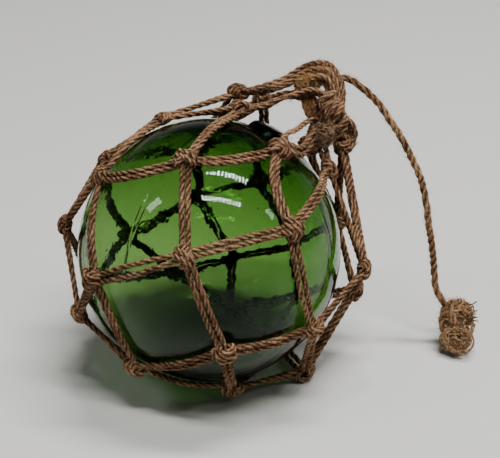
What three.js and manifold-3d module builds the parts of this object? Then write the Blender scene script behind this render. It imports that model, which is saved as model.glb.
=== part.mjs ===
// A glass float ball: a sealed ball of green blown glass in a net of brown twisted cord. The net is
// knotted in five rows of seven meshes, its last loops are gathered over the ball's shoulder, and a tail
// rope runs from the gather down to a frayed end knot. Millimetres, +Z up, with the origin on the surface
// that the ball stands on, at the centre of its small flat spot.
import * as THREE from 'three';
import { mergeVertices } from 'three/addons/utils/BufferGeometryUtils.js';
import Module from 'manifold-3d';

const wasm = await Module();
wasm.setup();
const { Manifold, Mesh: SolidMesh } = wasm;

// The ball, its flat spot and the thick button of glass that sealed it
const ballRadius = 63.5;
const footRadius = 8;
const sealRadius = 11;
const sealProud = 3.6;
const sealRoot = 3;
const sealHeading = 31;
const sealElevation = 58;

// The net's cord, which runs doubled from knot to knot, and its knots
const cordDiameter = 2.9;
const cordTuck = 0.6;
const knotLength = 12.4;
const knotWidth = 10.6;
const knotHeight = 7.8;
const knotTilt = 35;

// The tail rope, and the two lumps and the frayed brush of the knot at its end
const tailDiameter = 3.7;
const endKnotRadius = 8.2;
const brushLength = 9;

// What touches keeps this gap
const clearance = 0.3;

// Where the net is gathered: its heading from +X towards +Y, and its height above the ball's middle
const gatherHeading = 30;
const gatherElevation = 43;

// The points that are laid by hand, and the sizes that go with them, are for a ball of 63.5 mm radius,
// and grow and shrink with the ball.
const laidScale = ballRadius / 63.5;

const radians = THREE.MathUtils.degToRad;
const ballCentre = new THREE.Vector3(0, 0, Math.sqrt(ballRadius ** 2 - footRadius ** 2));

function direction(heading, elevation) {
  const level = Math.cos(radians(elevation));
  return new THREE.Vector3(
    level * Math.cos(radians(heading)),
    level * Math.sin(radians(heading)),
    Math.sin(radians(elevation)),
  );
}

// A closed geometry as a solid that can be joined and cut
function solid(geometry) {
  geometry.deleteAttribute('normal');
  geometry.deleteAttribute('uv');
  const merged = mergeVertices(geometry, 1e-4);
  return new Manifold(new SolidMesh({
    numProp: 3,
    vertProperties: Float32Array.from(merged.attributes.position.array),
    triVerts: Uint32Array.from(merged.index.array),
  }));
}

function meshOf(name, shape, material) {
  const { vertProperties, triVerts } = shape.getMesh();
  const geometry = new THREE.BufferGeometry();
  geometry.setAttribute('position', new THREE.BufferAttribute(Float32Array.from(vertProperties), 3));
  geometry.setIndex(new THREE.BufferAttribute(Uint32Array.from(triVerts), 1));
  geometry.computeVertexNormals();
  const mesh = new THREE.Mesh(geometry, material);
  mesh.name = name;
  return mesh;
}

// What lies on the standing surface is pressed flat there.
function restOnSurface(shape) {
  const depth = ballRadius;
  const below = new THREE.BoxGeometry(8 * ballRadius, 8 * ballRadius, depth).translate(0, 0, -depth / 2);
  return shape.subtract(solid(below));
}

function laid(point) {
  return new THREE.Vector3(...point).multiplyScalar(laidScale);
}

function turned(outline, segments) {
  const points = outline.map(([across, up]) => new THREE.Vector2(across, up));
  return new THREE.LatheGeometry(points, segments).rotateX(Math.PI / 2);
}

// A round cord along a smooth curve through the points
function cord(points, diameter, sides, steps) {
  const section = new THREE.Shape(Array.from({ length: sides }, (_, i) => {
    const angle = (2 * Math.PI * i) / sides;
    return new THREE.Vector2(Math.cos(angle), Math.sin(angle)).multiplyScalar(diameter / 2);
  }));
  const extrudePath = new THREE.CatmullRomCurve3(points);
  return solid(new THREE.ExtrudeGeometry(section, { steps, extrudePath, bevelEnabled: false }));
}

function lump(centre, radii, around, up) {
  return solid(new THREE.SphereGeometry(1, around, up).scale(...radii).translate(...laid(centre)));
}

// The ball's outline runs from its flat spot up to its top, and the seal is a low dome fused on it.
function glassBall() {
  const slices = 14;
  const lowest = -Math.acos(footRadius / ballRadius);
  const outline = [[0, -ballCentre.z]];
  for (let i = 0; i < slices; i += 1) {
    const angle = lowest + ((Math.PI / 2 - lowest) * i) / slices;
    outline.push([ballRadius * Math.cos(angle), ballRadius * Math.sin(angle)]);
  }
  outline.push([0, ballRadius]);
  const seal = turned([
    [0, ballRadius - sealRoot],
    [sealRadius, ballRadius - sealRoot],
    [sealRadius, ballRadius + sealProud * 0.2],
    [sealRadius * 0.72, ballRadius + sealProud * 0.85],
    [0, ballRadius + sealProud],
  ], 12);
  const up = new THREE.Vector3(0, 0, 1);
  const sealTurn = new THREE.Quaternion();
  seal.applyQuaternion(sealTurn.setFromUnitVectors(up, direction(sealHeading, sealElevation)));
  return solid(turned(outline, 26)).add(solid(seal)).translate(ballCentre.toArray());
}

// The knots of the net, row by row away from the gather. Each has its angle round the gather's axis, its
// angle away from that axis, and its stand-off in mm from the lowest place that the glass leaves it. The
// last two numbers, where there are any, bow the bars below it sideways: the one that goes down in the
// same column, and the one that goes down in the column before.
const rows = [
  [[262, 27, 2], [236, 30, 11], [212, 25, 14], [150, 22, 8], [78, 12, 15], [60, 17, 2], [334, 32, 0, 5, -6]],
  [[257, 59, 0], [208, 55, 0], [168, 42, 0], [98, 41, 0], [60, 58, 8], [4, 61, 0, 0, -4], [309, 67, 0, 5, 0]],
  [[250, 88, 0], [185, 71, 0], [128, 62, 0], [84, 67, 8], [45, 87, 0], [336, 95, 0], [277, 94, 0]],
  [[199, 107, 0], [151, 87, 0], [108, 82, 0], [79, 103, 9], [16, 116, 0], [304, 129, 0, 0, 4], [258, 119, 3]],
  [[166, 112, 0], [133, 108, 0], [103, 104, 0], [66, 131, 0], [1, 160, 0], [271, 154, 2], [214, 138, 0]],
];

const gatherAxis = direction(gatherHeading, gatherElevation);
const towardsFront = new THREE.Vector3(0, -1, 0).projectOnPlane(gatherAxis).normalize();
const towardsSide = new THREE.Vector3().crossVectors(gatherAxis, towardsFront);

const knots = rows.map((row) => row.map(([round, away, standOff, bowSame = 0, bowBefore = 0]) => {
  const outward = new THREE.Vector3()
    .addScaledVector(gatherAxis, Math.cos(radians(away)))
    .addScaledVector(towardsFront, Math.sin(radians(away)) * Math.cos(radians(round)))
    .addScaledVector(towardsSide, Math.sin(radians(away)) * Math.sin(radians(round)));
  const stand = ballRadius + clearance + knotHeight / 2 + standOff * laidScale;
  return {
    outward,
    arm: outward.clone().multiplyScalar(stand),
    bowSame: bowSame * laidScale,
    bowBefore: bowBefore * laidScale,
  };
}));

// A frame whose z points away from the ball and whose x runs along the net
function netFrame(origin, along, outward) {
  const side = new THREE.Vector3().crossVectors(outward, along).normalize();
  const forward = new THREE.Vector3().crossVectors(side, outward);
  return new THREE.Matrix4().makeBasis(forward, side, outward).setPosition(origin);
}

// A knot is two fat turns of cord side by side, laid across the bars that meet in it.
function knot({ arm, outward }, tilt) {
  const place = arm.clone().add(ballCentre);
  const along = gatherAxis.clone().projectOnPlane(outward);
  const frame = netFrame(place, along, outward).multiply(new THREE.Matrix4().makeRotationZ(radians(tilt)));
  const turns = turned([[0, -1], [1, -0.5], [0.84, 0], [1, 0.5], [0, 1]], 6).rotateY(Math.PI / 2);
  turns.scale(knotLength / 2, knotWidth / 2, knotHeight / 2);
  return solid(turns.applyMatrix4(frame));
}

// A bar is the doubled cord between two knots. It lies on the glass, or runs straight where that is
// further out, and its section is two cords side by side, flat below.
const halfWidth = cordDiameter - cordTuck / 2;
const halfHeight = cordDiameter / 2;
const pairSection = new THREE.Shape([
  [-halfWidth, -halfHeight],
  [halfWidth, -halfHeight],
  [halfWidth * 0.8, halfHeight],
  [0, halfHeight * 0.4],
  [-halfWidth * 0.8, halfHeight],
].map(([across, out]) => new THREE.Vector2(across, out)));
const barSteps = 2;
const barRise = 0.75;

function bar(from, to, bow = 0) {
  const middle = from.arm.clone().add(to.arm).normalize();
  const sideways = new THREE.Vector3().crossVectors(from.arm, to.arm).normalize();
  const frame = netFrame(ballCentre, to.arm.clone().sub(from.arm), middle);
  const bowAngle = Math.abs(bow) / ballRadius;
  const halfStep = (from.arm.angleTo(to.arm) + bowAngle) / (2 * barSteps);
  const lowest = (ballRadius + clearance + halfHeight) / Math.cos(halfStep) + barRise;
  const inverse = frame.clone().invert();
  const points = [0, 0.25, 0.5, 0.75, 1].map((share) => {
    const arm = from.arm.clone().lerp(to.arm, share);
    const radius = Math.max(lowest, arm.length());
    arm.addScaledVector(sideways, bow * Math.sin(Math.PI * share));
    return arm.setLength(radius).add(ballCentre).applyMatrix4(inverse);
  });
  const extrudePath = new THREE.CatmullRomCurve3(points);
  const options = { steps: barSteps, extrudePath, bevelEnabled: false };
  return solid(new THREE.ExtrudeGeometry(pairSection, options).applyMatrix4(frame));
}

// The gather over the ball's shoulder: the loops of the first row run up into it. Each strand is a cord
// or a pair of cords, from a knot of the first row or from inside the gather, by points laid by hand.
const pairDiameter = cordDiameter * 1.6;
const strandSides = 5;
const strands = [
  { knot: 1, end: 4, diameter: pairDiameter, steps: 12, points: [
    [25.5, 43.5, 129], [36.5, 43, 133], [45, 43.5, 138.5], [52.5, 43.5, 141.5], [58.5, 42.5, 140.5],
    [62, 40, 136], [62.5, 38, 130], [63.5, 35, 122.5], [66, 33, 114.5], [67.5, 30.5, 108]] },
  { knot: 0, diameter: pairDiameter, steps: 9, points: [
    [25.5, 29, 126], [34, 31.5, 128.5], [41.5, 32.5, 130.5], [48.5, 33.5, 132], [54, 32.5, 130.5],
    [58.5, 32, 127.5], [61.5, 31.5, 122], [64, 30.5, 116.5], [65, 28, 110]] },
  { knot: 2, diameter: pairDiameter, steps: 4, points: [[36, 50, 123.5], [46, 44, 126], [54, 37, 124]] },
  { knot: 3, diameter: pairDiameter, steps: 3, points: [[54, 44, 118], [57, 36, 119]] },
  { knot: 6, diameter: cordDiameter, steps: 4, points: [
    [36, 3, 122.5], [41.5, 11.5, 121.5], [47, 20.5, 121.5], [53.5, 26.5, 121.5]] },
  { knot: 6, diameter: cordDiameter, steps: 6, points: [
    [34.5, -4, 119], [40, 0, 115], [44, 4.5, 111.5], [47.5, 10.5, 112.5], [50, 16, 115],
    [53.5, 21.5, 116.5]] },
  { knot: 5, diameter: pairDiameter, steps: 4, points: [[57, 18, 104], [56, 21.5, 109], [57, 25.5, 114]] },
  { diameter: cordDiameter, steps: 7, points: [
    [61, 30.5, 118.5], [66, 29.5, 119], [69.5, 28, 116], [70.5, 26, 112], [68.5, 24.5, 108],
    [64, 25.5, 106]] },
  { diameter: cordDiameter, steps: 5, points: [
    [58.5, 31, 129], [54, 27.5, 128], [51.5, 25.5, 124.5], [52, 24, 120], [55.5, 24, 117]] },
];
const bundleSize = 5.8 * laidScale;
const bundles = [
  { centre: [53.5, 44.5, 133.5], reach: [1.05, 0.8, 1.1] },
  { centre: [59.5, 31, 122], reach: [1.1, 0.95, 1.2] },
  { centre: [57, 26, 115], reach: [1.15, 1, 1] },
  { centre: [64.5, 28, 110], reach: [1, 0.9, 1.2] },
];

function gather() {
  const loops = strands.map(({ knot: start, end, diameter, steps, points }) => {
    const ends = [start, end].map((column) => {
      if (column === undefined) return [];
      return [knots[0][column].arm.clone().add(ballCentre)];
    });
    return cord([...ends[0], ...points.map(laid), ...ends[1]], diameter, strandSides, steps);
  });
  return [...loops, ...bundles.map(({ centre, reach }) => {
    const radii = reach.map((share) => share * bundleSize);
    return lump(centre, radii, 6, 5);
  })];
}

function net() {
  const pieces = [...gather(), stub(tailRoute[0], tailRoute[1])];
  knots.forEach((row, i) => row.forEach((each, j) => {
    pieces.push(knot(each, (i + j) % 2 ? knotTilt : -knotTilt));
    const below = knots[i + 1];
    if (below) {
      pieces.push(bar(each, below[j], each.bowSame));
      pieces.push(bar(each, below.at(j - 1), each.bowBefore));
    } else {
      pieces.push(bar(each, row[(j + 1) % row.length]));
    }
  }));
  return restOnSurface(Manifold.union(pieces));
}

// The tail rope leaves the back of the gather level, and bends over and down to its end knot. It meets
// what it comes out of and the knot at its end face to face, on short stubs of its own thickness.
const tailRoute = [
  [61, 47.2, 132.6], [64.5, 46.9, 133.1], [68.5, 44.9, 133], [73, 42, 131], [78, 39, 127.5],
  [82.5, 36.5, 123.5], [87, 33.5, 117.5], [91.5, 31, 111.5], [95.5, 28.5, 105], [99, 26.5, 98.5],
  [102.5, 24.5, 91.5], [105, 23.5, 84], [107, 22, 75], [108.5, 21.5, 65.5], [110.5, 20.5, 55.5],
  [112, 20, 46], [113, 19, 37.5], [114, 18, 30.5], [116.5, 16.5, 25.5],
].map(laid);
const tailSteps = 19;
const tailSides = 8;
const stubLength = 6;

function stub(end, inner) {
  const onwards = end.clone().sub(inner).normalize();
  const face = end.clone().addScaledVector(onwards, clearance);
  const root = end.clone().addScaledVector(onwards, stubLength);
  return cord([face, root], tailDiameter, tailSides, 1);
}

function endKnot() {
  const upper = lump([124, 13.5, 18.5], [endKnotRadius, endKnotRadius * 0.9, endKnotRadius], 8, 6);
  const lower = lump([123.5, 7, 7.5], [endKnotRadius, endKnotRadius, endKnotRadius], 8, 6);
  const brush = lump([128.5, 12, 18.5], [brushLength, endKnotRadius * 0.6, endKnotRadius * 0.6], 7, 4);
  const entry = stub(tailRoute.at(-1), tailRoute.at(-2));
  return restOnSurface(Manifold.union([upper, lower, brush, entry]));
}

const glass = new THREE.MeshStandardMaterial({ color: 0x3f6b2a, roughness: 0.05, metalness: 0 });
const twine = new THREE.MeshStandardMaterial({ color: 0x6b4630, roughness: 0.95, metalness: 0 });
const rope = new THREE.MeshStandardMaterial({ color: 0x8a6236, roughness: 0.95, metalness: 0 });
const frayed = new THREE.MeshStandardMaterial({ color: 0x7a4f2c, roughness: 1, metalness: 0 });

const group = new THREE.Group();
group.add(meshOf('glass_ball', glassBall(), glass));
group.add(meshOf('net', net(), twine));
group.add(meshOf('tail_rope', cord(tailRoute, tailDiameter, tailSides, tailSteps), rope));
group.add(meshOf('tail_end_knot', endKnot(), frayed));
export default group;
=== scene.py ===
import math

import bpy
import numpy as np
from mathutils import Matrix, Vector


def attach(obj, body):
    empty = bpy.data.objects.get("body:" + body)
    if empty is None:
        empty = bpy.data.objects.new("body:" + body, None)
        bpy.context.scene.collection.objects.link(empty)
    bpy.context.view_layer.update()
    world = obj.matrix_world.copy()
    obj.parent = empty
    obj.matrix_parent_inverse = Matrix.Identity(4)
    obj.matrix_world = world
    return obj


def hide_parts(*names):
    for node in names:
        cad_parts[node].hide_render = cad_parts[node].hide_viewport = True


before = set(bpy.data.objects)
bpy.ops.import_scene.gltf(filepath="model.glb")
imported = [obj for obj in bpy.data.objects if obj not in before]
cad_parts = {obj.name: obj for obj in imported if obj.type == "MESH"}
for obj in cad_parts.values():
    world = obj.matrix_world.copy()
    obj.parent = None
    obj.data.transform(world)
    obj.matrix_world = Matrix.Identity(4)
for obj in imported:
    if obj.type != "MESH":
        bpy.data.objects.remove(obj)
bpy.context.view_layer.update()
MM = 0.001

# The camera looks down on the ball from the front, about 65 cm away, with a moderately long lens.
# Its place and pitch were worked out from the ball's round outline and from the floor.
camera_place = Vector((19.6, -545.8, 377.0)) * MM
camera_pitch = 29
camera_focal_length = 93.6
camera_data = bpy.data.cameras.new("camera")
camera_data.lens = camera_focal_length
camera_data.sensor_width = 36
camera_data.clip_start = 0.01
camera = bpy.data.objects.new("camera", camera_data)
camera.location = camera_place
camera.rotation_euler = (math.radians(90 - camera_pitch), 0, 0)
bpy.context.scene.collection.objects.link(camera)
bpy.context.scene.camera = camera


# The tail rope is the thickest cord on the float: three strands of golden-brown hemp laid together. It
# leaves the back of the gather, arches over and falls to its own knot on the floor. All the cords on the
# float are laid in the same way, so they share one tree of nodes.
def add_node(tree, kind, inputs=None, **settings):
    """Adds one node with its settings; each named input takes a value or a link."""
    node = tree.nodes.new(kind)
    for name, value in settings.items():
        setattr(node, name, value)
    for name, value in (inputs or {}).items():
        if isinstance(value, bpy.types.NodeSocket):
            tree.links.new(value, node.inputs[name])
        else:
            node.inputs[name].default_value = value
    return node


def linear_colour(code):
    """An sRGB hex colour as linear red, green, blue and alpha."""
    shares = [int(code[i:i + 2], 16) / 255 for i in (1, 3, 5)]
    return [s / 12.92 if s <= 0.04045 else ((s + 0.055) / 1.055) ** 2.4 for s in shares] + [1]


def laid_cord_tree():
    """Curves become laid cord: a section of three round strands that turns along the way, with loose
    fibres that stand off it."""
    strand_count = 3
    # How far the grooves and the strands between them reach, as shares of the cord's radius
    groove_reach, strand_bulge = 0.58, 0.42
    # Hand-laid cord turns and swells unevenly: noise of so many waves to the metre, and how much it does
    uneven_turns, uneven_turning = 55.0, 7.0
    uneven_swells, thinnest, swelling = 140.0, 0.79, 0.5
    # A fibre tapers to a share of its thickness, leans at random, and may be cut short
    tip_thickness, fibre_lean, shortest_fibre, fibre_paleness = 0.2, 0.9, 0.25, 1.2
    tree = bpy.data.node_groups.new("laid cord", "GeometryNodeTree")
    socket = tree.interface.new_socket
    socket(name="Geometry", in_out="INPUT", socket_type="NodeSocketGeometry")
    for name in ("Diameter", "Lay", "Step", "Fibres", "Fibre length", "Fibre thickness"):
        socket(name=name, in_out="INPUT", socket_type="NodeSocketFloat")
    for name in ("Points round", "Seed"):
        socket(name=name, in_out="INPUT", socket_type="NodeSocketInt")
    socket(name="Material", in_out="INPUT", socket_type="NodeSocketMaterial")
    socket(name="Geometry", in_out="OUTPUT", socket_type="NodeSocketGeometry")
    given = tree.nodes.new("NodeGroupInput").outputs
    node = lambda kind, inputs=None, **settings: add_node(tree, kind, inputs, **settings)
    math_node = "ShaderNodeMath"

    # The section: strands bulge between three deep grooves
    circle = node("GeometryNodeCurvePrimitiveCircle", {"Resolution": given["Points round"], "Radius": 1.0})
    place = node("GeometryNodeInputPosition").outputs["Position"]
    across = node("ShaderNodeSeparateXYZ", {"Vector": place})
    angle = node(math_node, {0: across.outputs["Y"], 1: across.outputs["X"]}, operation="ARCTAN2")
    half_turns = node(math_node, {0: angle.outputs[0], 1: strand_count / 2}, operation="MULTIPLY")
    wave = node(math_node, {0: half_turns.outputs[0]}, operation="COSINE")
    bulge = node(math_node, {0: wave.outputs[0]}, operation="ABSOLUTE")
    reach = node(math_node, {0: bulge.outputs[0], 1: strand_bulge, 2: groove_reach},
                 operation="MULTIPLY_ADD")
    kept = node("GeometryNodeCaptureAttribute", {"Geometry": circle.outputs["Curve"]})
    kept.capture_items.new("VECTOR", "Ring")
    kept.capture_items.new("FLOAT", "Bulge")
    tree.links.new(place, kept.inputs["Ring"])
    tree.links.new(bulge.outputs[0], kept.inputs["Bulge"])
    radius = node(math_node, {0: given["Diameter"], 1: 0.5}, operation="MULTIPLY")
    size = node(math_node, {0: reach.outputs[0], 1: radius.outputs[0]}, operation="MULTIPLY")
    moved = node("ShaderNodeVectorMath", {0: place, "Scale": size.outputs[0]}, operation="SCALE")
    section = node("GeometryNodeSetPosition",
                   {"Geometry": kept.outputs["Geometry"], "Position": moved.outputs["Vector"]})

    # The way: even steps, with one whole turn of the section for each length of lay
    even = node("GeometryNodeResampleCurve", {"Curve": given["Geometry"], "Length": given["Step"]},
                mode="LENGTH")
    along = node("GeometryNodeSplineParameter").outputs["Length"]
    turns = node(math_node, {0: along, 1: given["Lay"]}, operation="DIVIDE")
    tilt = node(math_node, {0: turns.outputs[0], 1: 2 * math.pi}, operation="MULTIPLY")
    unevenness = node("ShaderNodeTexNoise", {"Scale": uneven_turns, "Detail": 1.0}).outputs["Fac"]
    slack = node(math_node, {0: unevenness, 1: uneven_turning, 2: tilt.outputs[0]},
                 operation="MULTIPLY_ADD")
    turned = node("GeometryNodeSetCurveTilt", {"Curve": even.outputs["Curve"], "Tilt": slack.outputs[0]})
    thickness = node("ShaderNodeTexNoise", {"Scale": uneven_swells, "Detail": 1.0}).outputs["Fac"]
    fullness = node(math_node, {0: thickness, 1: swelling, 2: thinnest}, operation="MULTIPLY_ADD")
    swollen = node("GeometryNodeSetCurveRadius",
                   {"Curve": turned.outputs["Curve"], "Radius": fullness.outputs[0]})
    track = node("GeometryNodeCaptureAttribute", {"Geometry": swollen.outputs["Curve"]})
    track.capture_items.new("FLOAT", "Along")
    tree.links.new(along, track.inputs["Along"])
    swept = node("GeometryNodeCurveToMesh",
                 {"Curve": track.outputs["Geometry"], "Profile Curve": section.outputs["Geometry"],
                  "Fill Caps": True})
    smooth = node("GeometryNodeSetShadeSmooth", {"Geometry": swept.outputs["Mesh"]})
    cord = smooth.outputs["Geometry"]
    # The bulge is kept for the material, which uses it to paint shade into the grooves and a highlight onto
    # the strands' crowns
    for name, kind, value in (("ring", "FLOAT_VECTOR", kept.outputs["Ring"]),
                              ("bulge", "FLOAT", kept.outputs["Bulge"]),
                              ("along", "FLOAT", track.outputs["Along"])):
        stored = node("GeometryNodeStoreNamedAttribute", {"Geometry": cord, "Name": name}, data_type=kind)
        tree.links.new(value, stored.inputs["Value"])
        cord = stored.outputs["Geometry"]

    # The loose fibres: thin bent hairs that stand off the cord at a low angle
    points = node("GeometryNodeDistributePointsOnFaces",
                  {"Mesh": cord, "Density": given["Fibres"], "Seed": given["Seed"]})
    bend = node("GeometryNodeCurveQuadraticBezier",
                {"Resolution": 3, "Start": (0, 0, 0), "Middle": (0, 0, 0.5), "End": (0.55, 0, 0.85)})
    hair_share = node("GeometryNodeSplineParameter").outputs["Factor"]
    thin = node(math_node, {0: hair_share, 1: tip_thickness - 1, 2: 1.0}, operation="MULTIPLY_ADD")
    tapered = node("GeometryNodeSetCurveRadius",
                   {"Curve": bend.outputs["Curve"], "Radius": thin.outputs[0]})
    slim = node(math_node, {0: given["Fibre thickness"], 1: given["Fibre length"]}, operation="DIVIDE")
    hair_ring = node("GeometryNodeCurvePrimitiveCircle", {"Resolution": 3, "Radius": slim.outputs[0]})
    hair = node("GeometryNodeCurveToMesh",
                {"Curve": tapered.outputs["Curve"], "Profile Curve": hair_ring.outputs["Curve"],
                 "Fill Caps": True})
    spin = node("FunctionNodeRandomValue", {"Seed": given["Seed"]}, data_type="FLOAT_VECTOR")
    spin.inputs["Min"].default_value = (-fibre_lean, -fibre_lean, -math.pi)
    spin.inputs["Max"].default_value = (fibre_lean, fibre_lean, math.pi)
    spun = node("FunctionNodeEulerToRotation", {"Euler": spin.outputs["Value"]})
    facing = node("FunctionNodeRotateRotation",
                  {"Rotation": points.outputs["Rotation"], "Rotate By": spun.outputs["Rotation"]},
                  rotation_space="LOCAL")
    # As a float, the random value has its least and its most on the third and fourth sockets
    share = node("FunctionNodeRandomValue", {2: shortest_fibre, 3: 1.0, "Seed": 3}, data_type="FLOAT")
    length = node(math_node, {0: share.outputs[1], 1: given["Fibre length"]}, operation="MULTIPLY")
    hairs = node("GeometryNodeInstanceOnPoints",
                 {"Points": points.outputs["Points"], "Instance": hair.outputs["Mesh"],
                  "Rotation": facing.outputs["Rotation"], "Scale": length.outputs[0]})
    real = node("GeometryNodeRealizeInstances", {"Geometry": hairs.outputs["Instances"]})
    pale = node("GeometryNodeStoreNamedAttribute",
                {"Geometry": real.outputs["Geometry"], "Name": "bulge", "Value": fibre_paleness},
                data_type="FLOAT")
    whole = node("GeometryNodeJoinGeometry")
    tree.links.new(pale.outputs["Geometry"], whole.inputs[0])
    tree.links.new(cord, whole.inputs[0])
    painted = node("GeometryNodeSetMaterial",
                   {"Geometry": whole.outputs["Geometry"], "Material": given["Material"]})
    tree.links.new(painted.outputs["Geometry"], tree.nodes.new("NodeGroupOutput").inputs["Geometry"])
    return tree


cord_tree = laid_cord_tree()


def lay_cord(name, lines, diameter, material, step=0.9, points_round=15, lay=4.2,
             fibres=0, fibre_length=2.0, fibre_thickness=0.05, seed=1):
    """One mesh of laid cord along all the lines, which are lists of points in millimetres. Its lay is one
    whole turn of the strands, in diameters, and its fibres are counted by the square millimetre. What
    would go through the floor is laid flat on it."""
    floor_gap, kept_slope = 0.2 * MM, 0.05
    curve = bpy.data.curves.new(name, "CURVE")
    curve.dimensions = "3D"
    for line in lines:
        spline = curve.splines.new("POLY")
        spline.points.add(len(line) - 1)
        for point, place in zip(spline.points, line):
            point.co = (place[0] * MM, place[1] * MM, place[2] * MM, 1)
    guide = bpy.data.objects.new(name + " guide", curve)
    bpy.context.scene.collection.objects.link(guide)
    modifier = guide.modifiers.new("laid cord", "NODES")
    modifier.node_group = cord_tree
    values = {"Diameter": diameter * MM, "Lay": lay * diameter * MM, "Step": step * MM,
              "Fibres": fibres / MM ** 2, "Fibre length": fibre_length * MM,
              "Fibre thickness": fibre_thickness * MM, "Points round": points_round, "Seed": seed,
              "Material": material}
    for item in cord_tree.interface.items_tree:
        if item.in_out == "INPUT" and item.name in values:
            modifier[item.identifier] = values[item.name]
    graph = bpy.context.evaluated_depsgraph_get()
    mesh = bpy.data.meshes.new_from_object(guide.evaluated_get(graph))
    mesh.name = name
    places = np.empty(3 * len(mesh.vertices))
    mesh.vertices.foreach_get("co", places)
    above = places[2::3] - floor_gap
    places[2::3] = floor_gap + np.where(above < 0, above * kept_slope, above)
    mesh.vertices.foreach_set("co", places)
    bpy.data.objects.remove(guide)
    bpy.data.curves.remove(curve)
    piece = bpy.data.objects.new(name, mesh)
    bpy.context.scene.collection.objects.link(piece)
    return piece


def smooth_line(points, between=6):
    """A smooth Catmull-Rom line through the points, with a few more between each two."""
    points = [np.array(p, float) for p in points]
    points = [2 * points[0] - points[1]] + points + [2 * points[-1] - points[-2]]
    line = []
    for a, b, c, d in zip(points, points[1:], points[2:], points[3:]):
        for i in range(between):
            t = i / between
            line.append(0.5 * (2 * b + (c - a) * t + (2 * a - 5 * b + 4 * c - d) * t ** 2
                               + (3 * b - a - 3 * c + d) * t ** 3))
    line.append(points[-2])
    return line


def cord_material(name, dark, middle, light):
    """Twisted hemp, not dyed: dull and without gloss, streaked along its fibres, and paler in worn patches.
    The grooves between its strands are painted with shade, and their crowns with a highlight."""
    # Fibres are a tenth of a millimetre thick. Their streaks are drawn five times as coarse, about twenty
    # round the cord, so that they show. Worn patches and specks of dust are about as large as real ones.
    streak_length, streaks_round = 1.49, 20.1
    patch_size, speck_size = 14.3, 1.43
    # How much each pattern adds to the paleness, and what then brings it back to the ramp's middle
    # The bulge's weight is painted light: painted shade in the grooves between strands and a painted
    # highlight on their crowns
    streak_weight, strand_shading_weight, patch_weight, speck_weight, darkening = 1.5, 0.38, 0.7, 0.5, -1.1
    material = bpy.data.materials.new(name)
    material.use_nodes = True
    tree = material.node_tree
    tree.nodes.clear()
    node = lambda kind, inputs=None, **settings: add_node(tree, kind, inputs, **settings)
    ring = node("ShaderNodeAttribute", attribute_name="ring").outputs["Vector"]
    bulge = node("ShaderNodeAttribute", attribute_name="bulge").outputs["Fac"]
    along = node("ShaderNodeAttribute", attribute_name="along").outputs["Fac"]
    lengthwise = node("ShaderNodeMath", {0: along, 1: streak_length * MM}, operation="DIVIDE")
    sideways = node("ShaderNodeVectorMath", {0: ring, "Scale": streaks_round / (2 * math.pi)},
                    operation="SCALE")
    stretch = node("ShaderNodeCombineXYZ", {"Z": lengthwise.outputs[0]})
    fibre_place = node("ShaderNodeVectorMath",
                       {0: sideways.outputs["Vector"], 1: stretch.outputs["Vector"]})
    streaks = node("ShaderNodeTexNoise",
                   {"Vector": fibre_place.outputs["Vector"], "Scale": 1.0, "Detail": 3.0,
                    "Roughness": 0.65})
    here = node("ShaderNodeTexCoord").outputs["Object"]
    patches = node("ShaderNodeTexNoise",
                   {"Vector": here, "Scale": 1 / (patch_size * MM), "Detail": 3.0, "Roughness": 0.6})
    specks = node("ShaderNodeTexNoise",
                  {"Vector": here, "Scale": 1 / (speck_size * MM), "Detail": 2.0, "Roughness": 0.6})
    paleness = darkening
    # The strands' bulge adds painted shade in the grooves and a painted highlight on the crowns
    for pattern, weight in ((streaks.outputs["Fac"], streak_weight), (bulge, strand_shading_weight),
                            (patches.outputs["Fac"], patch_weight), (specks.outputs["Fac"], speck_weight)):
        paleness = node("ShaderNodeMath", {0: pattern, 1: weight, 2: paleness},
                        operation="MULTIPLY_ADD").outputs[0]
    ramp = node("ShaderNodeValToRGB", {"Fac": paleness})
    ramp.color_ramp.elements.new(0.5)
    for stop, place, colour in zip(ramp.color_ramp.elements, (0.22, 0.5, 0.82), (dark, middle, light)):
        stop.position = place
        stop.color = linear_colour(colour)
    bump = node("ShaderNodeBump",
                {"Height": streaks.outputs["Fac"], "Strength": 0.9, "Distance": 0.6 * MM})
    shader = node("ShaderNodeBsdfPrincipled",
                  {"Base Color": ramp.outputs["Color"], "Roughness": 0.95, "Normal": bump.outputs["Normal"],
                   "Specular IOR Level": 0.15})
    tree.links.new(shader.outputs["BSDF"], tree.nodes.new("ShaderNodeOutputMaterial").inputs["Surface"])
    return material


# Laid hemp rope, less weathered than the net: it has kept more of its golden colour
golden_hemp = cord_material("golden-brown hemp rope", "#301e11", "#76563b", "#bf9a74")
tail_diameter = 3.7
tail_route = [
    (61, 47.2, 132.6), (64.5, 46.9, 133.1), (68.5, 44.9, 133), (73, 42, 131), (78, 39, 127.5),
    (82.5, 36.5, 123.5), (87, 33.5, 117.5), (91.5, 31, 111.5), (95.5, 28.5, 105), (99, 26.5, 98.5),
    (102.5, 24.5, 91.5), (105, 23.5, 84), (107, 22, 75), (108.5, 21.5, 65.5), (110.5, 20.5, 55.5),
    (112, 20, 46), (113, 19, 37.5), (114, 18, 30.5), (116.5, 16.5, 25.5),
]
tail_line = smooth_line(tail_route)
tail_rope = lay_cord("laid_tail_rope", [tail_line], tail_diameter, golden_hemp, step=0.45, points_round=24,
                     fibres=0.9, fibre_length=2.1, seed=2)
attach(tail_rope, "root")
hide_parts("tail_rope")


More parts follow.
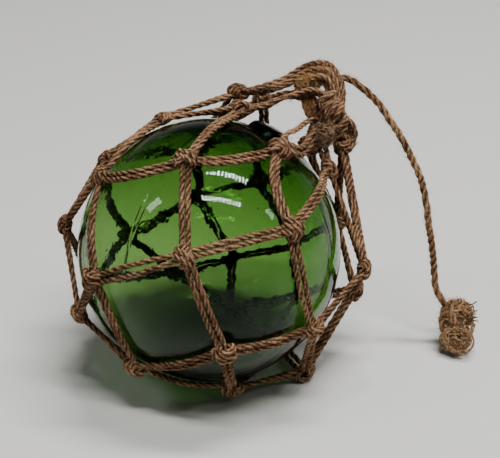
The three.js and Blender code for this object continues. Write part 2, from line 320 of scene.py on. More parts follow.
# The end knot: the tail rope is tied in an overhand knot above a ball of its own teased-out yarns, which
# lies on the floor. The loose ends of its yarns fan out to the right.
def wound(centre, axis, out, turns, half_width, half_height, pitch, start=0.0, tuck=0.35, bow=0.0):
    """A line that winds round a lump: turns side by side along the axis, with both ends tucked inside.
    A bow shifts the turns along the axis at both sides of the lump."""
    points_a_turn, tucked_turn = 20, 0.22
    centre, axis, out = (np.array(v, float) for v in (centre, axis, out))
    axis /= np.linalg.norm(axis)
    out = out - axis * out.dot(axis)
    out /= np.linalg.norm(out)
    side = np.cross(axis, out)
    line = []
    steps = int(turns * points_a_turn)
    for i in range(steps + 1):
        turn = turns * i / steps
        near_end = min(turn, turns - turn)
        shrink = 1 - (1 - tuck) * max(0.0, 1 - near_end / tucked_turn) ** 2
        angle = 2 * math.pi * (turn + start)
        line.append(centre + axis * (pitch * (turn - turns / 2) + bow * math.cos(angle) ** 2)
                    + shrink * (side * half_width * math.cos(angle) + out * half_height * math.sin(angle)))
    return line


def strays(centre, reach, count, length, rng, wave):
    """Short stray yarns that curl round the outside of a lump, each a little wavy and lower at its ends."""
    centre, reach = np.array(centre, float), np.array(reach, float)
    stretches, end_drop = 8, 0.2
    lines = []
    for _ in range(count):
        out = rng.normal(size=3)
        out /= np.linalg.norm(out)
        way = np.cross(out, rng.normal(size=3))
        way /= np.linalg.norm(way)
        sweep = length * rng.uniform(0.6, 1.3) / reach.mean()
        line = []
        for i in range(stretches + 1):
            share = i / stretches - 0.5
            spot = out * math.cos(sweep * share) + way * math.sin(sweep * share)
            spot = spot + rng.normal(size=3) * wave
            line.append(centre + spot * reach * (1 - end_drop * abs(share)))
        lines.append(smooth_line(line, 2))
    return lines


def above_the_floor(line):
    """Lays the points of a yarn that would go through the floor nearly flat on it."""
    lowest, kept_slope = 0.8, 0.1
    return [np.array((p[0], p[1], max(p[2], lowest + kept_slope * (p[2] - lowest)))) for p in line]


end_rng = np.random.default_rng(11)
# Yarns teased out of the rope weren't rubbed or soiled while they lay inside it: the palest hemp of all
teased_hemp = cord_material("teased golden hemp", "#4c311f", "#a97d53", "#e8c69c")
upper_lobe, lower_lobe = np.array([123.8, 13, 18.3]), np.array([124.3, 3.8, 8.6])
end_knot_lines = [
    [tail_line[-3], tail_line[-1], upper_lobe + (-3, 1, 2), upper_lobe, lower_lobe + (0, 2, 4)],
    wound(upper_lobe, (0.5, 0.1, -0.9), (0, -1, 0.4), 2.6, 5.6, 5.2, 3.2, start=0.2),
    wound(upper_lobe + (0.5, -1, 0), (0.8, -0.2, 0.6), (0, -1, 0.4), 1.2, 6, 5.6, 3, start=0.6),
    [(123, 12, 23), (119, 10.5, 21.3), (117, 9.5, 16.5), (118, 8, 11.5), (122, 6.5, 8.5)],
]
end_knot = lay_cord("tied_end_knot", [smooth_line(line, 3) for line in end_knot_lines], tail_diameter,
                    golden_hemp, step=0.5, points_round=21, fibres=1.4, fibre_length=3, seed=4)


def direction(heading, elevation):
    """The unit vector that points to a heading and an elevation in degrees."""
    level = math.cos(math.radians(elevation))
    return np.array([level * math.cos(math.radians(heading)), level * math.sin(math.radians(heading)),
                     math.sin(math.radians(elevation))])


yarn_diameter = 0.85
curled_count, fanned_count = 30, 60
facing_spread, middle_spread, root_spread, tip_spread = 0.35, 0.9, 1.8, 1.3
# Yarns that curl round the lower lobe, facing the front: turns, half widths, half heights and pitches
curls = ((1.0, 2.0), (4.5, 7.8), (4.2, 7.2), (-2, 2))
curled_yarns = []
for _ in range(curled_count):
    faces_front = np.array([0.1, -0.85, 0.5]) + end_rng.normal(size=3) * facing_spread
    middle = lower_lobe + end_rng.normal(size=3) * middle_spread
    sizes = [end_rng.uniform(least, most) for least, most in curls]
    curled_yarns.append(wound(middle, faces_front, (0, 0.5, 0.85), *sizes, start=end_rng.uniform(0, 1),
                              tuck=0.6))
# Yarns that fan out from the upper lobe, to the right and up
fan_headings, fan_rises, fan_lengths = (-70, 40), (-15, 60), (5, 9.5)
fanned_yarns = []
for _ in range(fanned_count):
    fan = direction(end_rng.uniform(*fan_headings), end_rng.uniform(*fan_rises))
    root = upper_lobe + (1.5, -1, -1) + end_rng.normal(size=3) * root_spread
    fan = fan * end_rng.uniform(*fan_lengths)
    fanned_yarns.append([root, root + fan / 2, root + fan + end_rng.normal(size=3) * tip_spread])
# Yarns that stray round each lobe and between them: the lump, its half sizes, how many, and how long
loose_yarns = (strays(lower_lobe + (0, 1.5, 0), (7.8, 6.2, 7), 45, 13, end_rng, 0.1)
               + strays(lower_lobe + (0, 1.5, -0.5), (5.5, 4.5, 4.8), 40, 10, end_rng, 0.16)
               + strays(upper_lobe + (3, -2, 0.5), (6, 5.5, 6), 60, 11, end_rng, 0.12)
               + strays((128.5, 7.5, 13), (5, 4.5, 5), 30, 10, end_rng, 0.12))
end_ball = lay_cord("tail_end_yarns",
                    [above_the_floor(line) for line in
                     curled_yarns + loose_yarns + [smooth_line(line, 4) for line in fanned_yarns]],
                    yarn_diameter, teased_hemp, step=0.8, points_round=6, fibres=0.35, fibre_length=2.6,
                    seed=5)
for piece in (end_knot, end_ball):
    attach(piece, "root")
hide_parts("tail_end_knot")


# The ball is hollow blown glass, 127 mm across, with a wall of three millimetres at its waist that is
# thicker above and below. The button that sealed its blowing hole stands proud near the top, and a small
# flat spot lets it stand still.
ball_radius = 63.5
foot_radius = 8
ball_centre = np.array([0, 0, math.sqrt(ball_radius ** 2 - foot_radius ** 2)])
seal_heading, seal_elevation = 31, 58
seal_radius, seal_proud = 11, 3.6
seam_top, seam_foot = np.array([-0.318, -0.399, 0.86]), np.array([-0.591, -0.784, 0.189])
seam_half_width = 0.55
seam_reach = 41.1


def lathe_mesh(outline, axis, centre, ripple, segments=160, inside_out=False):
    """Turns an outline of (away from the axis, along the axis) into a closed skin round the axis. The
    ripple is a function that moves each of its points."""
    axis = np.array(axis, float)
    side = np.cross(axis, (0, 0, 1))
    side /= np.linalg.norm(side)
    other = np.cross(axis, side)
    verts = [centre + axis * outline[0][1]]
    for away, height in outline[1:-1]:
        for i in range(segments):
            angle = 2 * math.pi * i / segments
            verts.append(centre + axis * height + away * (side * math.cos(angle) + other * math.sin(angle)))
    verts.append(centre + axis * outline[-1][1])
    verts = [ripple(v) for v in verts]
    faces = []
    rings = len(outline) - 2
    for i in range(segments):
        j = (i + 1) % segments
        faces.append((0, 1 + i, 1 + j))
        for k in range(rings - 1):
            a, b = 1 + k * segments, 1 + (k + 1) * segments
            faces.append((a + i, b + i, b + j, a + j))
        last = 1 + (rings - 1) * segments
        faces.append((last + j, last + i, len(verts) - 1))
    if inside_out:
        faces = [face[::-1] for face in faces]
    return verts, faces


def blown(v):
    """Glass blown by hand is a little uneven, and the ball's underside is flat where it stands."""
    out = (v - ball_centre) / np.linalg.norm(v - ball_centre)
    swell = (0.18 * math.sin(3.1 * out[0] + 1.3) * math.cos(2.7 * out[1] - 0.4)
             * math.sin(2.3 * out[2] + 0.9))
    place = v + out * swell
    place[2] = max(place[2], 0)
    return place


# How thick the wall is by height, as a share of the radius above the centre: from the pool of glass at the
# bottom, past the thin waist, up to the top where the ball was gathered. The inside also sits off centre.
wall_heights = (-1, -0.96, -0.9, -0.82, -0.7, -0.4, 0.35, 0.5, 0.65, 0.8, 0.95, 1)
wall_thicknesses = (11, 10, 7.2, 5, 4, 3.5, 3.3, 3.6, 4.8, 5.8, 6.6, 6.8)
mean_wall = 3.2
inside_shift = (-0.9, 0, 0)


def blown_inside(v):
    """The inside is less even than the outside: the glass ran thicker at the bottom and at the top."""
    out = (v - ball_centre) / np.linalg.norm(v - ball_centre)
    swell = 0.35 * math.sin(2.2 * out[0] - 0.7) * math.cos(3.3 * out[2] + 0.5) + 0.15 * math.sin(7 * out[1])
    nearby = out[2] + np.linspace(-0.07, 0.07, 5)
    thicker = np.interp(nearby, wall_heights, wall_thicknesses).mean() - mean_wall
    return v + out * (swell - thicker)


# The outline of the outside: the button's low crown and its steep edge, then the ball below it
seal_edge = math.degrees(math.asin(seal_radius / ball_radius))
outline = [(0, ball_radius + seal_proud)]
for share in (0.25, 0.5, 0.7, 0.82, 0.9, 0.96, 1.0):
    drop = seal_proud * (0.06 * share ** 2 + 0.94 * max(0.0, (share - 0.7) / 0.3) ** 2.2)
    level = math.sqrt(ball_radius ** 2 - (seal_radius * share) ** 2)
    outline.append((seal_radius * share, level + seal_proud - drop))
outer_rings, inner_rings = 88, 80
for i in range(1, outer_rings):
    angle = math.radians(seal_edge + (180 - seal_edge) * i / outer_rings)
    outline.append((ball_radius * math.sin(angle), ball_radius * math.cos(angle)))
outline.append((0, -ball_radius))
seal_axis = direction(seal_heading, seal_elevation)
outer_verts, outer_faces = lathe_mesh(outline, seal_axis, ball_centre, blown)


def round_outline(radius, rings):
    """Half a circle from pole to pole, to turn into a ball."""
    return [(radius * math.sin(math.pi * i / rings), radius * math.cos(math.pi * i / rings))
            for i in range(rings + 1)]


inner_verts, inner_faces = lathe_mesh(round_outline(ball_radius - mean_wall, inner_rings), seal_axis,
                                      ball_centre + inside_shift, blown_inside, inside_out=True)
skins = [(outer_verts, outer_faces), (inner_verts, inner_faces)]
# A few seeds, the small bubbles that stay in the wall of blown glass, just under its outside
seed_count, seed_depth, seed_radii = 48, 1.1, (0.2, 0.45)
seed_rings, seed_segments = 6, 10
seed_rng = np.random.default_rng(3)
for _ in range(seed_count):
    out = seed_rng.normal(size=3)
    seed_centre = ball_centre + out / np.linalg.norm(out) * (ball_radius - seed_depth)
    seed_outline = round_outline(seed_rng.uniform(*seed_radii), seed_rings)
    skins.append(lathe_mesh(seed_outline, (1, 0, 0), seed_centre, np.array, seed_segments,
                            inside_out=True))
glass_verts, glass_faces = [], []
for verts, faces in skins:
    glass_faces += [tuple(i + len(glass_verts) for i in face) for face in faces]
    glass_verts += verts
glass_mesh = bpy.data.meshes.new("glass_ball")
glass_mesh.from_pydata([Vector(v) * MM for v in glass_verts], [], glass_faces)
glass_mesh.polygons.foreach_set("use_smooth", [True] * len(glass_mesh.polygons))
inner = glass_mesh.attributes.new("inner skin", "FLOAT", "POINT")
inner.data.foreach_set("value", [float(len(outer_verts) <= i < len(outer_verts) + len(inner_verts))
                                 for i in range(len(glass_verts))])
glass_ball = bpy.data.objects.new("glass_ball_skin", glass_mesh)
bpy.context.scene.collection.objects.link(glass_ball)

# Green bottle glass, blown, so never ground or polished: clear, and deeper green the further the light has
# come through it. Its soft bumps bend what is seen through it, and its shine is weak and greenish.
glass_green, glass_density = "#c9e1af", 680.0
glass_shine = "#8e9b93"
wave_size, dent_size, dent_share = 33.3, 5.88, 0.14
outside_ripple, inside_ripple = 0.15, 1.0
ripple_strength, ripple_height, seam_share = 0.1, 10, 0.5
glass = bpy.data.materials.new("green blown glass")
glass.use_nodes = True
tree = glass.node_tree
tree.nodes.clear()
here = add_node(tree, "ShaderNodeTexCoord").outputs["Object"]
# The mould left a fine seam down the left of the ball, in one plane with its centre. It stops short of the
# top and the bottom: it shows only where the skin is further than the seam's reach out towards its middle.
# Inside, the skin is wavy all over.
seam_plane = np.cross(seam_top, seam_foot)
seam_plane /= np.linalg.norm(seam_plane)
seam_middle = (seam_top + seam_foot) / np.linalg.norm(seam_top + seam_foot)
arm = add_node(tree, "ShaderNodeVectorMath", {0: here, 1: Vector(ball_centre) * MM}, operation="SUBTRACT")
beside = add_node(tree, "ShaderNodeVectorMath", {0: arm.outputs["Vector"], 1: Vector(seam_plane)},
                  operation="DOT_PRODUCT")
far = add_node(tree, "ShaderNodeMath", {0: beside.outputs["Value"]}, operation="ABSOLUTE")
seam = add_node(tree, "ShaderNodeMapRange",
                {"Value": far.outputs[0], "From Max": seam_half_width * MM, "To Min": seam_share,
                 "To Max": 0.0},
                interpolation_type="SMOOTHSTEP")
front = add_node(tree, "ShaderNodeVectorMath", {0: arm.outputs["Vector"], 1: Vector(seam_middle)},
                 operation="DOT_PRODUCT")
near = add_node(tree, "ShaderNodeMath", {0: front.outputs["Value"], 1: seam_reach * MM},
                operation="GREATER_THAN")
near_seam = add_node(tree, "ShaderNodeMath", {0: seam.outputs["Result"], 1: near.outputs[0]},
                     operation="MULTIPLY")
waves = add_node(tree, "ShaderNodeTexNoise",
                 {"Vector": here, "Scale": 1 / (wave_size * MM), "Detail": 2.0, "Roughness": 0.4})
dents = add_node(tree, "ShaderNodeTexNoise",
                 {"Vector": here, "Scale": 1 / (dent_size * MM), "Detail": 2.0})
skin = add_node(tree, "ShaderNodeMath", {0: dents.outputs["Fac"], 1: dent_share, 2: waves.outputs["Fac"]},
                operation="MULTIPLY_ADD")
inside = add_node(tree, "ShaderNodeAttribute", attribute_name="inner skin").outputs["Fac"]
unevenness = add_node(tree, "ShaderNodeMath",
                      {0: inside, 1: inside_ripple - outside_ripple, 2: outside_ripple},
                      operation="MULTIPLY_ADD")
height = add_node(tree, "ShaderNodeMath",
                  {0: skin.outputs[0], 1: unevenness.outputs[0], 2: near_seam.outputs[0]},
                  operation="MULTIPLY_ADD")
ripple = add_node(tree, "ShaderNodeBump",
                  {"Height": height.outputs[0], "Strength": ripple_strength,
                   "Distance": ripple_height * MM})
shader = add_node(tree, "ShaderNodeBsdfPrincipled",
                  {"Base Color": linear_colour("#ffffff"), "Roughness": 0.0, "IOR": 1.5,
                   "Transmission Weight": 1.0, "Specular Tint": linear_colour(glass_shine),
                   "Normal": ripple.outputs["Normal"]})
tint = add_node(tree, "ShaderNodeVolumeAbsorption",
                {"Color": linear_colour(glass_green), "Density": glass_density})
add_node(tree, "ShaderNodeOutputMaterial",
         {"Surface": shader.outputs["BSDF"], "Volume": tint.outputs["Volume"]})
glass_mesh.materials.append(glass)
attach(glass_ball, "root")
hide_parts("glass_ball")


# The net is tied from one reddish-brown hemp cord that runs doubled from knot to knot: five rows of seven
# meshes round the ball, the last row drawn together by a ring of cord under it.
cord_diameter = 2.9
clearance = 0.3
knot_height = 7.8
gather_axis = direction(30, 43)
towards_front = np.array([0, -1, 0]) - gather_axis * -gather_axis[1]
towards_front /= np.linalg.norm(towards_front)
towards_side = np.cross(gather_axis, towards_front)

# Each knot: its angle round the gather's axis, its angle away from that axis, its stand-off from the glass,
# and, where the bars below it are bowed, how far to the side each of the two bows
net_rows = [
    [(262, 27, 2), (236, 30, 11), (212, 25, 14), (150, 22, 8), (78, 12, 15), (60, 17, 2),
     (334, 32, 0, 5, -6)],
    [(257, 59, 0), (208, 55, 0), (168, 42, 0), (98, 41, 0), (60, 58, 8), (4, 61, 0, 0, -4),
     (309, 67, 0, 5, 0)],
    [(250, 88, 0), (185, 71, 0), (128, 62, 0), (84, 67, 8), (45, 87, 0), (336, 95, 0), (277, 94, 0)],
    [(199, 107, 0), (151, 87, 0), (108, 82, 0), (79, 103, 9), (16, 116, 0), (304, 129, 0, 0, 4),
     (258, 119, 3)],
    [(166, 112, 0), (133, 108, 0), (103, 104, 0), (66, 131, 0), (1, 160, 0), (271, 154, 2), (214, 138, 0)],
]


def knot_arm(around, away, stand_off, bow_same=0, bow_before=0):
    """Where a knot's middle is, from the ball's centre, and the bows of the bars below it."""
    around, away = math.radians(around), math.radians(away)
    out = (gather_axis * math.cos(away) + towards_front * math.sin(away) * math.cos(around)
           + towards_side * math.sin(away) * math.sin(around))
    return out * (ball_radius + clearance + knot_height / 2 + stand_off), bow_same, bow_before


knots = [[knot_arm(*numbers) for numbers in row] for row in net_rows]
net_rng = np.random.default_rng(7)
lowest = ball_radius + clearance + cord_diameter / 2


def doubled(middle_line, outs, gap, twist, lean):
    """Two cords side by side along a line; they turn slowly about each other and may stand apart. They
    press into each other a little, so each is less than half a diameter off the line."""
    pressed = 0.47 * cord_diameter
    middle_line = [np.array(p, float) for p in middle_line]
    count = len(middle_line)
    lines = [[], []]
    for i, (place, out) in enumerate(zip(middle_line, outs)):
        ahead = middle_line[min(i + 1, count - 1)] - middle_line[max(i - 1, 0)]
        ahead /= np.linalg.norm(ahead)
        side = np.cross(ahead, out)
        side /= np.linalg.norm(side)
        up = np.cross(side, ahead)
        share = i / (count - 1)
        angle = lean + twist * (share - 0.5)
        apart = pressed + gap * math.sin(math.pi * share) / 2
        offset = (side * math.cos(angle) + up * math.sin(angle)) * apart
        lines[0].append(place + offset)
        lines[1].append(place - offset)
    return lines


def off_the_glass(line):
    """Lifts a line's points out of the glass, and off the floor."""
    lifted = []
    for place in line:
        arm = place - ball_centre
        length = np.linalg.norm(arm)
        place = ball_centre + arm * max(lowest, length) / length
        place[2] = max(place[2], cord_diameter / 2)
        lifted.append(place)
    return lifted


def bar_lines(start, end, bow=0, gap=None):
    """The doubled cord between two knots: on the glass, or straight where that is further out. Its two
    cords part and turn about each other as chance had it, unless a gap is given."""
    stretches, most_twist, lean_spread = 24, 1.6, 0.25
    sideways = np.cross(start, end)
    sideways /= np.linalg.norm(sideways)
    middle_line, outs = [], []
    for i in range(stretches + 1):
        share = i / stretches
        arm = start + (end - start) * share
        reach = max(lowest, np.linalg.norm(arm))
        arm = arm + sideways * bow * math.sin(math.pi * share)
        arm *= reach / np.linalg.norm(arm)
        middle_line.append(ball_centre + arm)
        outs.append(arm / np.linalg.norm(arm))
    usual_gap = max(0, net_rng.normal(0.1, 0.5))
    gap = usual_gap if gap is None else gap
    pair = doubled(middle_line, outs, gap, net_rng.uniform(-most_twist, most_twist),
                   net_rng.normal(0, lean_spread))
    return [off_the_glass(line) for line in pair]


# Where two cords are seen to part, by the row and the place of the knot above, and how far they do
parted_bars = {(2, 5): 1.8, (2, 6): 1.5, (3, 5): 0.9}
bars = []
for i, row in enumerate(knots):
    for j, (arm, bow_same, bow_before) in enumerate(row):
        if i + 1 < len(knots):
            bars += bar_lines(arm, knots[i + 1][j][0], bow_same, parted_bars.get((i, j)))
            bars += bar_lines(arm, knots[i + 1][j - 1][0], bow_before)
        else:
            bars += bar_lines(arm, row[(j + 1) % len(row)][0])

# The net's hemp has been in the weather for long: it is darker, redder and duller than the tail rope
red_hemp = cord_material("reddish-brown hemp cord", "#27160c", "#6b4a34", "#b5926e")
net_bars = lay_cord("net_bars", bars, cord_diameter, red_hemp, step=0.95, points_round=12,
                    fibres=0.04, fibre_length=2.6, seed=21)

# How each knot in sight was tied: the slant of its turns as seen from the front, their bow, and its size
# against the usual
knots_in_sight = {
    (0, 0): (-60, 0, 1), (0, 5): (-10, 0, 0.92), (0, 6): (5, -2.2, 1), (1, 0): (-55, 0, 0.75),
    (1, 4): (25, 0, 0.85), (1, 5): (-12, 0, 1), (1, 6): (-30, 0, 1), (2, 0): (50, 0, 0.75),
    (2, 4): (-20, 0, 1), (2, 5): (-28, -1, 1), (2, 6): (-40, 0, 0.9), (3, 4): (8, 1.5, 1),
    (3, 5): (-5, 2, 1), (3, 6): (-60, 0, 0.85), (4, 3): (0, 1.5, 1), (4, 4): (-25, 0, 1),
    (4, 5): (20, 0, 0.9),
}
# A knot's upper turns and the ones that cross under them: half width, half height and pitch, and how many
upper_turns, upper_counts, upper_lift = np.array([4.6, 2.6, 2.6]), (2.3, 2.8), 0.4
crossing_turns, crossing_count = np.array([4.7, 2.5, 2.2]), 1.7
view_up = np.array([0, math.sin(math.radians(camera_pitch)), math.cos(math.radians(camera_pitch))])
knot_turns = []
for i, row in enumerate(knots):
    for j, (arm, _, _) in enumerate(row):
        out = arm / np.linalg.norm(arm)
        out_of_sight = (net_rng.uniform(-60, 60), 0, 1)
        slant, bow, size = knots_in_sight.get((i, j), out_of_sight)
        slant = math.radians(slant)
        way = np.array([math.cos(slant), 0, 0]) + view_up * math.sin(slant)
        way -= out * out.dot(way)
        way /= np.linalg.norm(way)
        axis = np.cross(out, way)
        place = ball_centre + arm - out * (1 - size) * knot_height / 2
        knot_turns.append(wound(place + out * upper_lift, axis, out, net_rng.uniform(*upper_counts),
                                *(upper_turns * size), start=net_rng.uniform(0, 1), bow=bow))
        cross = axis / 2 + way * net_rng.choice((-1, 1))
        knot_turns.append(wound(place, cross, out, crossing_count, *(crossing_turns * size),
                                start=net_rng.uniform(0, 1)))
net_knots = lay_cord("net_knots", [off_the_glass(line) for line in knot_turns], cord_diameter, red_hemp,
                     step=0.85, points_round=12, fibres=0.05, fibre_length=2.6, seed=22)
for piece in (net_bars, net_knots):
    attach(piece, "root")
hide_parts("net")


# The gather: the first row's loops run up over the ball's shoulder and are drawn together there by turns
# of the same cord, into a lump that years of handling have frayed and felted.
def knot_place(column):
    """The middle of a knot of the first row."""
    return ball_centre + knots[0][column][0]


# Each strand: the knot that it starts from or None, the one that it ends at or None, how many cords run
# side by side, and its points
gather_strands = [
    (1, 4, 1, [(25.5, 43.5, 130), (36.5, 43, 134.5), (45, 43.5, 140), (52.5, 43.5, 142.5),
               (58.5, 42.5, 141.5), (62.5, 40, 136.5), (63.5, 38, 130), (64.5, 35, 122.5),
               (66, 33, 114.5), (67.5, 30.5, 108)]),
    (1, 4, 1, [(25.5, 42.5, 128.5), (36.5, 41, 131.5), (45, 41, 135.5), (52.5, 41, 138.5),
               (57.5, 40, 137.5), (60, 38.5, 133.5), (61.5, 36, 128), (62.5, 34, 120.5),
               (64, 32, 113), (66, 29.5, 107)]),
    (1, None, 1, [(27, 45.5, 128), (38, 46.5, 132), (47, 47, 137), (54, 46.5, 140), (60, 45, 138),
                  (64, 42, 133), (65, 39, 126), (63, 36, 119), (60, 33, 114)]),
    (1, 4, 1, [(27, 44.5, 126.8), (38, 43.5, 131), (46, 44, 135), (53, 43, 138), (58, 41.5, 136.5),
               (61, 39.5, 131.5), (62, 37, 125), (63, 34.5, 118), (65, 32, 111)]),
    (1, 4, 1, [(26, 42, 129.5), (37, 41.5, 133), (45.5, 41.5, 138), (52.5, 41, 140.5), (58, 40, 139),
               (61, 38, 134.5), (62, 35.5, 128.5), (63.5, 33, 121), (66, 31, 113)]),
    (0, None, 2, [(25.5, 29, 126), (34, 31.5, 128.5), (41.5, 32.5, 130.5), (48.5, 33.5, 132),
                  (54, 32.5, 130.5), (58.5, 32, 127.5), (61.5, 31.5, 122), (64, 30.5, 116.5),
                  (65, 28, 110)]),
    (2, None, 1, [(36, 50, 123.5), (46, 44, 126), (54, 37, 124)]),
    (2, None, 1, [(35, 52, 121), (44, 47, 122.5), (52, 41, 121.5), (57, 35, 120)]),
    (3, None, 2, [(54, 44, 118), (57, 36, 119)]),
    (6, None, 1, [(36, 3, 122.5), (41.5, 11.5, 121.5), (47, 20.5, 121.5), (53.5, 26.5, 121.5),
                  (57, 30, 120)]),
    (6, None, 1, [(34.5, -4, 119), (40, 0, 115), (44, 4.5, 111.5), (47.5, 10.5, 112.5), (50, 16, 115),
                  (53.5, 21.5, 116.5)]),
    (6, None, 1, [(36, -1, 120.5), (42, 4, 115.5), (45.5, 9, 115), (48, 14, 117), (52, 20, 119)]),
    (5, None, 2, [(57, 18, 104), (56, 21.5, 109), (57, 25.5, 114)]),
    (5, None, 1, [(54.5, 16.5, 104.5), (53, 18.5, 109), (53, 20, 113)]),
    (None, None, 1, [(59, 33, 121), (61.5, 30.5, 119), (66, 29.5, 119.5), (69.5, 28, 116), (70.5, 26, 112),
                     (68.5, 24.5, 108), (64.5, 25, 106), (61.5, 26, 108)]),
    (None, None, 1, [(60, 35, 118), (63, 32, 117), (67, 31.5, 115.5), (69, 29.5, 112), (67.5, 27.5, 107.5),
                     (64.5, 27.5, 104.5), (62, 29, 106)]),
    (None, None, 2, [(50, 37, 136), (54, 36.5, 138), (57, 36, 136), (58.5, 35, 132), (59, 34, 128),
                     (59.5, 32.5, 123)]),
    (None, None, 1, [(52, 37, 134), (55, 36.5, 134.5), (57, 35.5, 132), (57, 34.5, 128.5), (57.5, 33, 124)]),
    (None, None, 2, [(60, 33.5, 130), (57, 29, 130), (53, 26.5, 127.5), (51.5, 25, 123.5), (53, 24.5, 119),
                     (57, 25, 116)]),
    (None, None, 2, [(63, 32.5, 126.5), (59.5, 28.5, 127), (56, 25, 124), (56.5, 23.5, 119.5),
                     (61, 25.5, 116), (63.5, 29, 115)]),
]


def strand_lines(start, end, cords, points):
    """The one or two lines of a strand of the gather, from the knot it starts from to the one it ends at."""
    between, gap, twist_by_length, most_lean = 8, 0.1, (0.01, 0.03), 1.5
    ends = [[knot_place(column)] if column is not None else [] for column in (start, end)]
    line = smooth_line(ends[0] + [np.array(p, float) for p in points] + ends[1], between)
    if cords == 1:
        return [off_the_glass(line)]
    outs = [(p - ball_centre) / np.linalg.norm(p - ball_centre) for p in line]
    twist = np.linalg.norm(line[0] - line[-1]) * net_rng.uniform(*twist_by_length)
    pair = doubled(line, outs, gap, twist, net_rng.uniform(0, most_lean))
    return [off_the_glass(each) for each in pair]


gather_lines = [line for strand in gather_strands for line in strand_lines(*strand)]
# The turns that draw the strands together: centre, axis, the way they face, how many, and their sizes
gather_lines += [
    wound((58.5, 29, 122), (0.85, 0.2, -0.5), (0, -0.9, 0.4), 1.8, 6.2, 5.2, 3.4, start=0.1, bow=1.5),
    wound((60.5, 28, 118), (0.35, 0.3, -0.9), (0, -0.9, 0.4), 1.6, 5.8, 5, 3.3, start=0.6, bow=-1),
    wound((62.5, 29, 113.5), (0.8, 0.1, -0.6), (0, -0.9, 0.4), 1.6, 5.2, 4.6, 3, start=0.35),
    wound((65.5, 28.5, 106.5), (0.2, 0.1, -1), (0.3, -0.9, 0.3), 2.6, 4.6, 4.2, 2.8, start=0.7),
]
net_gather = lay_cord("net_gather", gather_lines, cord_diameter, red_hemp, step=0.8, points_round=15,
                      fibres=0.35, fibre_length=3.2, seed=23)
felt_rng = np.random.default_rng(5)
felt_thread_diameter = 1.1
# Rubbed fibres that have matted and gathered dust: greyer and paler than the cord they came from
felted_hemp = cord_material("felted grey-brown hemp", "#38261a", "#80624b", "#bfa283")
felt = lay_cord("net_felt", strays((53.2, 19, 114.8), (5.8, 4.8, 5.4), 80, 10, felt_rng, 0.14)
                + strays((45.5, 19.5, 110.5), (2.4, 2.4, 3), 14, 6, felt_rng, 0.18),
                felt_thread_diameter, felted_hemp, step=0.9, points_round=6, fibres=0.35, fibre_length=3,
                seed=24)
for piece in (net_gather, felt):
    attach(piece, "root")


# The tail rope's own hitch: it passes through the eye of the gather, where its worn strands have come
# unlaid, and they run down behind the next loop into the lump.
eye = [(61, 47.2, 132.6), (57, 46.8, 132), (52.5, 44, 131.5), (49.5, 39.5, 131), (48.5, 36, 129)]
eye_turns = wound((49, 40.5, 132.5), (-0.9, -0.1, -0.3), (0, -0.9, 0.3), 1.6, 4.4, 4.2, 3.6)
hitch = lay_cord("tail_hitch", [smooth_line(eye, 6), eye_turns], tail_diameter, golden_hemp, step=0.6,
                 points_round=21, fibres=2, fibre_length=3, seed=31)
strand_diameter = 2.1
# The rope's inner strands, rubbed open: more orange than its outside, and fluffy
unlaid_hemp = cord_material("unlaid golden hemp", "#3d2512", "#88603a", "#c69b66")
unlaid = [[(48 + i, 38, 131), (45.2 + 1.6 * i, 34.4 - 0.4 * i, 127), (46.6 + 1.7 * i, 31.3 - 0.4 * i, 122),
           (50 + 1.2 * i, 29, 116.5)] for i in range(4)]
hitch_yarns = lay_cord("tail_hitch_yarns", [smooth_line(line, 6) for line in unlaid]
                       + strays((47.4, 38.6, 131.8), (5.6, 3.4, 4.8), 15, 9, felt_rng, 0.2)
                       + strays((54, 43, 139.5), (6, 2.5, 2.5), 8, 10, felt_rng, 0.08),
                       strand_diameter, unlaid_hemp, step=0.8, points_round=9, fibres=1.2, fibre_length=3,
                       seed=32)
for piece in (hitch, hitch_yarns):
    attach(piece, "root")


# The float lies on a plain pale floor in a pale room. Two strips of lamps under the ceiling light it from
# above, and two small windows, one on each side, each put a soft spot on the glass.
floor_reach = 3.0
floor_corners = [(x * floor_reach, y * floor_reach, 0) for x, y in ((-1, -1), (1, -1), (1, 1), (-1, 1))]
floor_mesh = bpy.data.meshes.new("floor")
floor_mesh.from_pydata(floor_corners, [], [(0, 1, 2, 3)])
floor = bpy.data.objects.new("floor", floor_mesh)
bpy.context.scene.collection.objects.link(floor)
# Matt paint, even and without shine, so that the shadow on it stays soft
matt_paint = bpy.data.materials.new("pale matt floor")
matt_paint.use_nodes = True
matt_paint.node_tree.nodes["Principled BSDF"].inputs["Base Color"].default_value = linear_colour("#d2d1cc")
matt_paint.node_tree.nodes["Principled BSDF"].inputs["Roughness"].default_value = 0.95
floor_mesh.materials.append(matt_paint)


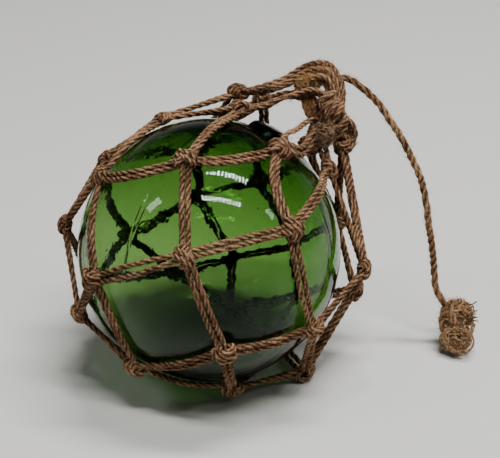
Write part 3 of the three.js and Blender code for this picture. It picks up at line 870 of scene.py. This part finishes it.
def soft_light(name, place, aim, size, power):
    """A lit rectangle at a place, turned towards its aim."""
    data = bpy.data.lights.new(name, "AREA")
    data.shape = "RECTANGLE"
    data.size, data.size_y = size
    data.energy = power
    lamp = bpy.data.objects.new(name, data)
    lamp.location = place
    lamp.rotation_euler = (Vector(aim) - Vector(place)).to_track_quat("-Z", "Y").to_euler()
    bpy.context.scene.collection.objects.link(lamp)


ceiling = 1.64
lamp_count, lamp_share, strip_power = 12, 0.5, 24.6


def strip_of_lamps(name, left, right, width):
    """A strip under the ceiling: a row of small lamps as wide as it, with gaps between them."""
    left, right = Vector((*left, ceiling)), Vector((*right, ceiling))
    pitch = (right - left).length / lamp_count
    for i in range(lamp_count):
        place = left.lerp(right, (i + 0.5) / lamp_count)
        soft_light(name, place, place - Vector((0, 0, 1)), (pitch * lamp_share, width),
                   strip_power / lamp_count)


strip_of_lamps("lamp of the strip behind", (-0.07, 0.21), (0.83, 0.15), 0.16)
strip_of_lamps("lamp of the strip in front", (-0.16, -0.47), (0.8, -0.57), 0.14)
middle_of_ball = Vector((0, 0, 0.06))
soft_light("window on the left", (-1.06, -0.25, 1.23), middle_of_ball, (0.16, 0.32), 3.0)
soft_light("window on the right", (1.26, -0.31, 1.09), middle_of_ball, (0.12, 0.24), 1.5)
world = bpy.data.worlds.new("pale room")
world.use_nodes = True
world.node_tree.nodes["Background"].inputs["Color"].default_value = linear_colour("#f7faff")
# The room's walls are brighter than its ceiling, and give the glass a soft sheen near its rim. In a world,
# Generated is the direction that is looked in.
wall_glow, ceiling_glow, top_of_walls = 0.32, 0.03, 0.35
upwards = add_node(world.node_tree, "ShaderNodeSeparateXYZ",
                   {"Vector": add_node(world.node_tree, "ShaderNodeTexCoord").outputs["Generated"]})
glow = add_node(world.node_tree, "ShaderNodeMapRange",
                {"Value": upwards.outputs["Z"], "From Max": top_of_walls, "To Min": wall_glow,
                 "To Max": ceiling_glow},
                interpolation_type="SMOOTHSTEP")
world.node_tree.links.new(glow.outputs["Result"], world.node_tree.nodes["Background"].inputs["Strength"])
bpy.context.scene.world = world
